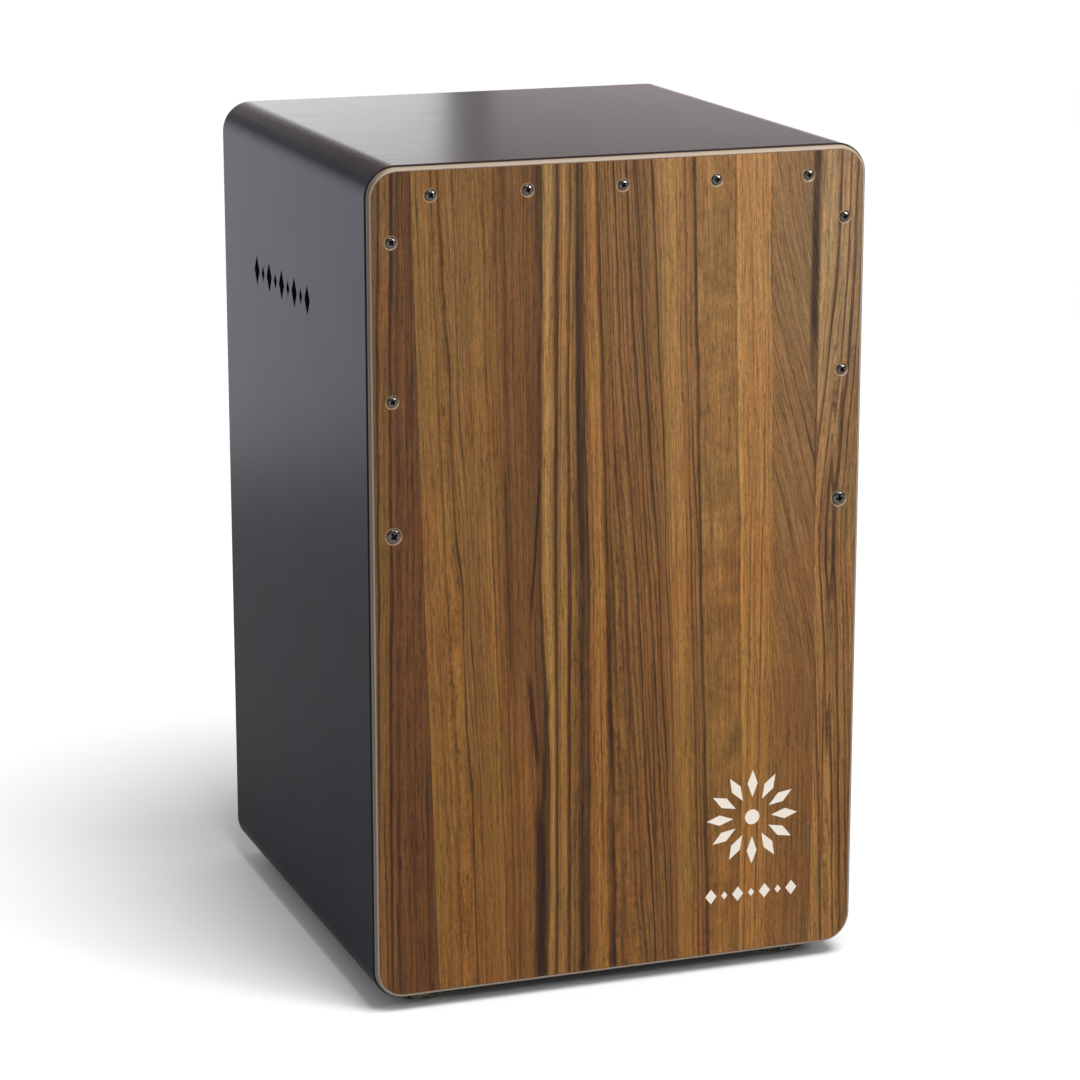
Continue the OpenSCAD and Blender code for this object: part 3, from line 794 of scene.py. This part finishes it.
def hole_cutter():
    """Countersinks and shank holes of all screws of the playing surface, as one mesh."""
    bm = bmesh.new()
    for spots in FACE_SPOTS.values():
        for lo, hi in spots:
            r = head_radius((lo, hi)) + SINK_RIM
            shank = r * 0.5
            spot = Vector(((lo.x + hi.x) / 2, TAPA_LO.y, (lo.z + hi.z) / 2))
            profile = [(0, 1 * MM), (r + 1 * MM, 1 * MM), (r, 0), (r - 0.25 * MM, -0.4 * MM),
                       (shank, -(r - shank)), (shank, -6 * MM), (0, -6 * MM)]
            lathe(bm, profile, spot, Vector((0, -1, 0)), 40)
    return finish_mesh(bm, "hole_cutter", [SINK_WOOD])


def playing_surface():
    """Thin plywood board with a walnut face, a pale chamfered edge and countersunk holes."""
    y0, y1 = TAPA_LO.y, TAPA_HI.y
    c = CHAMFER
    front = [(y0 + c + 0.25 * MM, 0), (y0 + c, 0.04 * MM), (y0 + c * 0.8, c * 0.16),
             (y0 + c * 0.2, c * 0.76), (y0 + 0.1 * MM, c * 0.9), (y0, c + 0.1 * MM)]
    back = [(y1 - 0.3 * MM, 0), (y1, 0.3 * MM)]
    rows = plate_rows(TAPA_LO, TAPA_HI, EDGE_R - (SHELL_HI.x - TAPA_HI.x), front, back)
    bm = bmesh.new()
    verts = skin(bm, rows, material=[1] * len(rows))
    bm.faces.new(verts[0]).material_index = 2
    bm.faces.new(verts[-1]).material_index = 0
    board = finish_mesh(bm, "playing_surface_piece", [WALNUT, PLY_EDGE, BIRCH])
    cut(board, hole_cutter())
    shade(board.data, 30)
    keep_flat(board)
    place(board, "box", "walnut_face", "playing_surface")


def back_panel():
    """Back board with the round sound hole, its rim rounded."""
    r = EDGE_R - BACK_LIP
    back = rounding(BACK_HI.y, 0, 0.4 * MM, 1)
    hole = rounding(BACK_HI.y, 0, 1.2 * MM, 1, 4)
    bm = bmesh.new()

    def outer(y, inset):
        w, h = BACK_HI.x - BACK_LO.x - 2 * inset, BACK_HI.z - BACK_LO.z - 2 * inset
        return [(x, y, z) for x, z in outline(w, h, r - inset)]

    def circle(y, grow):
        rad = HOLE_R + grow
        return [(rad * math.cos(a), y, HOLE_Z + rad * math.sin(a)) for a in angles(96)]

    out = skin(bm, [outer(BACK_LO.y, 0)] + [outer(y, d) for y, d in back], material=[0] * 9)
    rim = skin(bm, [circle(BACK_LO.y, 0)] + [circle(y, d) for y, d in hole], material=[2] + [0] * 9)
    bm.edges.ensure_lookup_table()
    for row_a, row_b, slot_no in ((out[-1], rim[-1], 0), (out[0], rim[0], 1)):
        edges = []
        for row in (row_a, row_b):
            for i in range(len(row)):
                edges.append(bm.edges.get((row[i], row[(i + 1) % len(row)])))
        made = bmesh.ops.triangle_fill(bm, use_beauty=True, edges=[e for e in edges if e])
        for f in (x for x in made["geom"] if isinstance(x, bmesh.types.BMFace)):
            f.material_index = slot_no
    panel = finish_mesh(bm, "back_panel_piece", [STAIN_BACK, BIRCH, STAIN_BACK])
    place(keep_flat(panel), "box", "black_back", "back_panel")


# ---------------------------------------------------------------- screws

def cross_plug(bm, spot, axis, head_r, depth, turn):
    """Closed plug with a plus-shaped outline that narrows inward: the recess of a cross-head screw."""
    frame_of = axis.to_track_quat("Z", "Y").to_matrix() @ Matrix.Rotation(turn, 3, "Z")

    def plus(half_l, half_w, z):
        points = []
        for k in range(4):
            rot = Matrix.Rotation(k * math.pi / 2, 3, "Z")
            for x, y in ((half_l, -half_w), (half_l, half_w), (half_w * 1.15, half_w * 1.15)):
                points.append(spot + frame_of @ (rot @ Vector((x, y, z))))
        return points

    long, wide = head_r * 0.58, head_r * 0.16
    rows = [plus(long * 1.15, wide * 1.3, 0.4 * MM), plus(long * 0.9, wide, -0.3 * MM),
            plus(long * 0.3, wide * 0.7, -depth)]
    capped(bm, rows)


def thread_rows(shank_r, start, length, pitch, steps):
    """Rows of a screw's threaded shank: the ridge winds down in a helix."""
    rows = []
    rings = int(length / (pitch / 5))
    for k in range(rings + 1):
        along = start - length * k / rings
        fade = min(1.0, (length - (start - along)) / (3 * shank_r))
        row = []
        for i in range(steps):
            phase = (along / pitch + i / steps) % 1.0
            ridge = max(0.0, 1 - abs(phase - 0.5) * 4)
            r = shank_r * (0.72 + 0.28 * ridge) * (0.25 + 0.75 * fade)
            row.append((r, 2 * math.pi * i / steps, along))
        rows.append(row)
    return rows


def wood_screw(name, spots, axis, face, head_r, shank_r, countersunk, dome, materials, turns):
    """Screws with a domed head, a cross recess and a threaded shank. face is the plane that the head
    meets along axis; each spot is the (lowest, highest) corner of the screw's CAD solid."""
    body, cutter = bmesh.new(), bmesh.new()
    steps = 40
    for (lo, hi), turn in zip(spots, turns):
        centre = (lo + hi) / 2
        length = abs((hi - lo).dot(axis)) - dome
        spot = centre + axis * (face - centre.dot(axis))
        frame_of = axis.to_track_quat("Z", "Y").to_matrix()
        profile = []
        for i in range(9):
            a = math.pi / 2 * i / 8
            profile.append((head_r * math.sin(a), dome * math.cos(a)))
        profile = [(r, z if r < head_r * 0.999 else 0.0) for r, z in profile]
        if countersunk:
            cone = head_r - shank_r
            profile += [(head_r, -HEAD_SINK), (head_r - 0.12 * MM, -HEAD_SINK - 0.15 * MM),
                        (shank_r, -HEAD_SINK - cone)]
            start = -HEAD_SINK - cone
        else:
            profile += [(head_r * 0.96, 0.0), (shank_r, 0.0)]
            start = 0.0
        profile.append((shank_r * 0.98, start - 1 * MM))
        rows = [[(r, a, z) for a in angles(steps)] for r, z in profile]
        rows += thread_rows(shank_r, start - 1 * MM, length + start - 1 * MM, 1.3 * MM, steps)
        rows.append([(0.0, 0.0, rows[-1][0][2]) for _ in range(steps)])
        skin(body, [[spot + frame_of @ Vector((r * math.cos(a), r * math.sin(a), z)) for r, a, z in row]
                    for row in rows])
        cross_plug(cutter, spot + axis * dome, axis, head_r, min(1.9 * MM, head_r * 0.55), turn)
    screw = finish_mesh(body, name, materials, 40)
    # The cross recess walls take the near-black metal, painted shade
    cut(screw, finish_mesh(cutter, "cross_cutter", [RECESS_PAINTED_SHADE]))
    shade(screw.data, 38)
    return screw


def face_screws():
    """Screws of the playing surface: fixed ones, large side ones and tuning ones near the top corners."""
    out = Vector((0, -1, 0))
    face = -TAPA_LO.y
    for node, spots in FACE_SPOTS.items():
        body = node if node.startswith("tuning") else "box"
        r = head_radius(spots[0])
        dome = TAPA_LO.y - spots[0][0].y
        turns = [random.uniform(0, math.pi / 2) for _ in spots]
        screw = wood_screw(node + "_piece", spots, out, face, r, r * 0.52, True, dome, [NICKEL], turns)
        place(screw, body, "nickel", node)


def plain_screws(node, axis, head_h, head_share, body):
    """Pan head screws of a CAD group whose heads look along axis."""
    spots = screw_spots(node)
    across = [i for i in range(3) if abs(axis[i]) < 0.5]
    head_r = (spots[0][1][across[0]] - spots[0][0][across[0]]) / 2
    pick = spots[0][1] if sum(axis) > 0 else spots[0][0]
    face = pick.dot(axis) - head_h
    turns = [random.uniform(0, math.pi / 2) for _ in spots]
    screw = wood_screw(node + "_piece", spots, axis, face, head_r, head_r * head_share, False, head_h,
                       [ZINC], turns)
    place(screw, body, "zinc", node)


# ---------------------------------------------------------------- feet, battens and snare unit

def foot(node):
    """Round rubber foot with softened edges and a seat for its screw."""
    lo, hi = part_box(node)
    centre = Vector(((lo.x + hi.x) / 2, (lo.y + hi.y) / 2, 0))
    r, h = (hi.x - lo.x) / 2, hi.z
    e = 1.2 * MM
    seat_r, seat_h, bore = 5.5 * MM, 4 * MM, 2 * MM
    arc = [(r - e + e * math.sin(a), e - e * math.cos(a)) for a in (0, 0.4, 0.8, 1.2, math.pi / 2)]
    top = [(r - 0.4 * MM + 0.4 * MM * math.cos(a), h - 0.4 * MM + 0.4 * MM * math.sin(a))
           for a in (0, 0.8, math.pi / 2)]
    profile = [(bore, h), (bore, seat_h), (seat_r, seat_h), (seat_r, 0.6 * MM), (seat_r + 0.6 * MM, 0)]
    profile += arc + top + [(bore, h)]
    bm = bmesh.new()
    skin(bm, [[centre + Vector((rad * math.cos(a), rad * math.sin(a), z)) for a in angles(72)]
              for rad, z in profile])
    place(finish_mesh(bm, node + "_piece", [RUBBER], 40), "box", "grey_rubber", node)


def rounded_block(node, body, slot, material, radius=0.8 * MM):
    """A wooden block of the CAD node's box with softened edges."""
    lo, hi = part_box(node)
    bm = bmesh.new()
    bmesh.ops.create_cube(bm, size=1.0)
    for v in bm.verts:
        v.co = Vector([lo[i] + (hi[i] - lo[i]) * (v.co[i] + 0.5) for i in range(3)])
    bmesh.ops.bevel(bm, geom=bm.edges, offset=radius, segments=3, profile=0.5, affect="EDGES")
    place(keep_flat(finish_mesh(bm, node + "_piece", [material], 50)), body, slot, node)


def lever():
    """Flat plywood lever with a round end."""
    lo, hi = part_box("tilt_lever")
    r = (hi.x - lo.x) / 2
    end = hi.y - r
    e = 1.0 * MM

    def ring(z, inset):
        rr = r - inset
        pts = [(-rr, lo.y + inset), (rr, lo.y + inset)]
        for i in range(17):
            a = math.pi * i / 16
            pts.append((rr * math.cos(a), end + rr * math.sin(a)))
        return [(x, y, z) for x, y in pts]

    rows = [ring(lo.z, e), ring(lo.z + e * 0.3, e * 0.3), ring(lo.z + e, 0)]
    rows += [ring(hi.z - e, 0), ring(hi.z - e * 0.3, e * 0.3), ring(hi.z, e)]
    bm = bmesh.new()
    capped(bm, rows)
    plate = keep_flat(finish_mesh(bm, "tilt_lever_piece", [LEVER_PLY], 50))
    place(plate, "snare_unit", "lever_ply", "tilt_lever")


COIL_WIRE = 0.45 * MM
COIL_PITCH = 1.25 * MM


def coil_set(node):
    """A snare set: each CAD rod becomes a wound wire coil of the same outer size."""
    bm = bmesh.new()
    around, sides = 9, 4
    for k, (lo, hi) in enumerate(screw_spots(node)):
        cx, cy = (lo.x + hi.x) / 2, (lo.y + hi.y) / 2
        coil_r = (hi.x - lo.x) / 2 - COIL_WIRE / 2
        turns = (hi.z - lo.z - COIL_WIRE) / COIL_PITCH
        count = int(turns * around)
        rows = []
        for i in range(count + 1):
            a = 2 * math.pi * i / around + k * 1.3
            z = lo.z + COIL_WIRE / 2 + (hi.z - lo.z - COIL_WIRE) * i / count
            out = Vector((math.cos(a), math.sin(a), 0))
            up = Vector((0, 0, 1))
            row = []
            for b in angles(sides):
                row.append(Vector((cx, cy, z)) + out * (coil_r + COIL_WIRE / 2 * math.cos(b))
                           + up * (COIL_WIRE / 2 * math.sin(b)))
            rows.append(row)
        capped(bm, rows)
    place(finish_mesh(bm, node + "_piece", [SPRING], 80), "snare_unit", "spring_wire", node)


def carried_over():
    """CAD nodes that stay as they are and only take a material."""
    for node, material in {
        "bracket_left": SHEET, "bracket_right": SHEET,
        "snare_plate_left": SHEET, "snare_plate_right": SHEET,
        "pivot_screw_left": ZINC, "pivot_screw_right": ZINC,
        "friction_washer_left": NYLON, "friction_washer_right": NYLON,
    }.items():
        obj = frame["nodes"][node]
        obj.data.materials.clear()
        obj.data.materials.append(material)


# ---------------------------------------------------------------- generic marks

INK_THICK = 0.04 * MM


def printed(name, centre, right, out, shapes, material, slot):
    """Flat printed shapes, each a list of (right, up) points; out is the normal of the face under them."""
    up = Vector((0, 0, 1))
    bm = bmesh.new()
    for points in shapes:
        base = [centre + right * x + up * z for x, z in points]
        capped(bm, [base, [p + out * INK_THICK for p in base]])
    place(finish_mesh(bm, name, [material]), "box", slot)


def rosette(size):
    """A ring of lozenges round a dot."""
    shapes = []
    for a in angles(12):
        c, s = math.cos(a), math.sin(a)
        lozenge = [(0.42, 0), (0.72, 0.11), (1.0, 0), (0.72, -0.11)]
        shapes.append([(size * (r * c - t * s), size * (r * s + t * c)) for r, t in lozenge])
    shapes.append([(size * 0.16 * math.cos(math.pi * k / 8), size * 0.16 * math.sin(math.pi * k / 8))
                   for k in range(16)])
    return shapes


def lozenge_row(count, pitch, half_w, half_h):
    """A row of upright lozenges, every second one smaller."""
    shapes = []
    for i in range(count):
        x = (i - (count - 1) / 2) * pitch
        k = 1.0 if i % 2 == 0 else 0.55
        shapes.append([(x - half_w * k, 0), (x, -half_h * k), (x + half_w * k, 0), (x, half_h * k)])
    return shapes


# ---------------------------------------------------------------- build

shell_panel("top_panel", 45, STAIN_TOP)
shell_panel("left_panel", 135, STAIN_SIDE)
shell_panel("bottom_panel", 225, STAIN_BOTTOM)
shell_panel("right_panel", 315, STAIN_SIDE)
playing_surface()
back_panel()
face_screws()
for side_name in ("front_left", "front_right", "back_left", "back_right"):
    foot("foot_" + side_name)
for batten, wood in (("frame_rail_top", BATTEN_X), ("frame_rail_bottom", BATTEN_X),
                     ("frame_stile_left", BATTEN_Z), ("frame_stile_right", BATTEN_Z),
                     ("corner_batten_top_left", BATTEN_Y), ("corner_batten_top_right", BATTEN_Y),
                     ("corner_batten_bottom_left", BATTEN_Y), ("corner_batten_bottom_right", BATTEN_Y)):
    rounded_block(batten, "box", "raw_batten", wood)
rounded_block("snare_rail", "snare_unit", "rail_beech", BEECH, 1.2 * MM)
lever()
plain_screws("foot_screws", Vector((0, 0, -1)), 2.4 * MM, 0.47, "box")
plain_screws("bracket_screws", Vector((0, 1, 0)), 2.0 * MM, 0.51, "box")
plain_screws("snare_plate_screws", Vector((0, -1, 0)), 1.5 * MM, 0.53, "snare_unit")
plain_screws("tilt_lever_screws", Vector((0, 0, 1)), 2.0 * MM, 0.51, "snare_unit")
coil_set("snare_coils_left")
coil_set("snare_coils_right")
carried_over()
FACE_MARK = rosette(29 * MM) + [[(x, z - 47 * MM) for x, z in shape]
                                for shape in lozenge_row(7, 8.6 * MM, 3.6 * MM, 4.6 * MM)]
printed("printed_rosette", Vector((84 * MM, TAPA_LO.y, 94 * MM)), Vector((1, 0, 0)), Vector((0, -1, 0)),
        FACE_MARK, CREAM_INK, "walnut_face")
printed("printed_lozenges", Vector((SHELL_LO.x + 0.042 * MM, 22 * MM, 398 * MM)), Vector((0, -1, 0)),
        Vector((-1, 0, 0)), lozenge_row(9, 13.5 * MM, 5.5 * MM, 9 * MM), BLACK_INK, "black_shell")


# ---------------------------------------------------------------- stage, light and camera

def floor():
    """Pale studio floor."""
    g = Graph("studio_floor", (0.86, 0.86, 0.86, 1), roughness=0.7, specular=0.2)
    x, y, z = g.coords()
    cloud = g.noise(g.scaled((x, y, z), (0.002, 0.002, 0.002)), 3.0)
    g.color(g.tint((0.86, 0.86, 0.86, 1), g.remap(cloud, 0.3, 0.7, 0.985, 1.015)))
    bm = bmesh.new()
    bmesh.ops.create_circle(bm, cap_ends=True, segments=96, radius=30.0)
    obj = finish_mesh(bm, "studio_floor", [g.mat])


def area(name, spot, target, size, power, spread_deg=180, color=(1, 1, 1)):
    """Soft box at a spot, turned to a target; a small spread keeps its light on the object."""
    light = bpy.data.lights.new(name, "AREA")
    light.shape = "RECTANGLE"
    light.size, light.size_y = size
    light.energy = power
    light.color = color
    light.spread = math.radians(spread_deg)
    obj = add_object(name, light)
    obj.location = spot
    obj.rotation_euler = (Vector(target) - Vector(spot)).to_track_quat("-Z", "Y").to_euler()


def sun(name, toward, softness_deg, strength):
    """Distant soft light that comes from a direction."""
    light = bpy.data.lights.new(name, "SUN")
    light.angle = math.radians(softness_deg)
    light.energy = strength
    obj = add_object(name, light)
    obj.rotation_euler = Vector(toward).to_track_quat("Z", "Y").to_euler()


def world(color, strength):
    w = bpy.data.worlds.new("studio_world")
    bpy.context.scene.world = w
    w.use_nodes = True
    back = w.node_tree.nodes["Background"]
    back.inputs[0].default_value = (*color, 1)
    back.inputs[1].default_value = strength


def camera(azimuth, elevation, distance, target, lens):
    cam = bpy.data.cameras.new("camera")
    cam.lens, cam.sensor_width = lens, 36.0
    obj = add_object("camera", cam)
    a, e = math.radians(azimuth), math.radians(elevation)
    back = Vector((math.sin(a) * math.cos(e), -math.cos(a) * math.cos(e), math.sin(e)))
    obj.location = Vector(target) + back * distance
    obj.rotation_euler = (-back).to_track_quat("-Z", "Y").to_euler()
    bpy.context.scene.camera = obj


floor()
world((1.0, 1.0, 1.0), 0.45)
sun("overhead", (0.15, -0.4, 1.0), 30, 2.66)
area("key_right", (0.85, -1.1, 0.95), (0.12, -0.15, 0.5), (0.5, 0.5), 0.95, 45)
area("accent_right", (0.85, -1.1, 0.95), (0.2, -0.15, 0.5), (0.2, 0.2), 0.15, 24)
area("glow_top", (0.15, 2.0, 0.67), (0, 0, 0.49), (0.9, 0.5), 0.66, 60)
area("glow_top_right", (1.0, 1.9, 0.57), (0.05, 0, 0.49), (0.7, 0.34), 0.15, 60, (1.0, 0.88, 0.92))
area("glow_side", (-0.5, 1.15, 0.3), (-0.15, 0, 0.38), (0.5, 0.56), 0.42, 60, (0.88, 0.9, 1.0))
camera(-19.9, 14.2, 2.176, (0.0044, -0.0015, 0.2343), 118.5)
bpy.context.scene.view_settings.view_transform = "Standard"
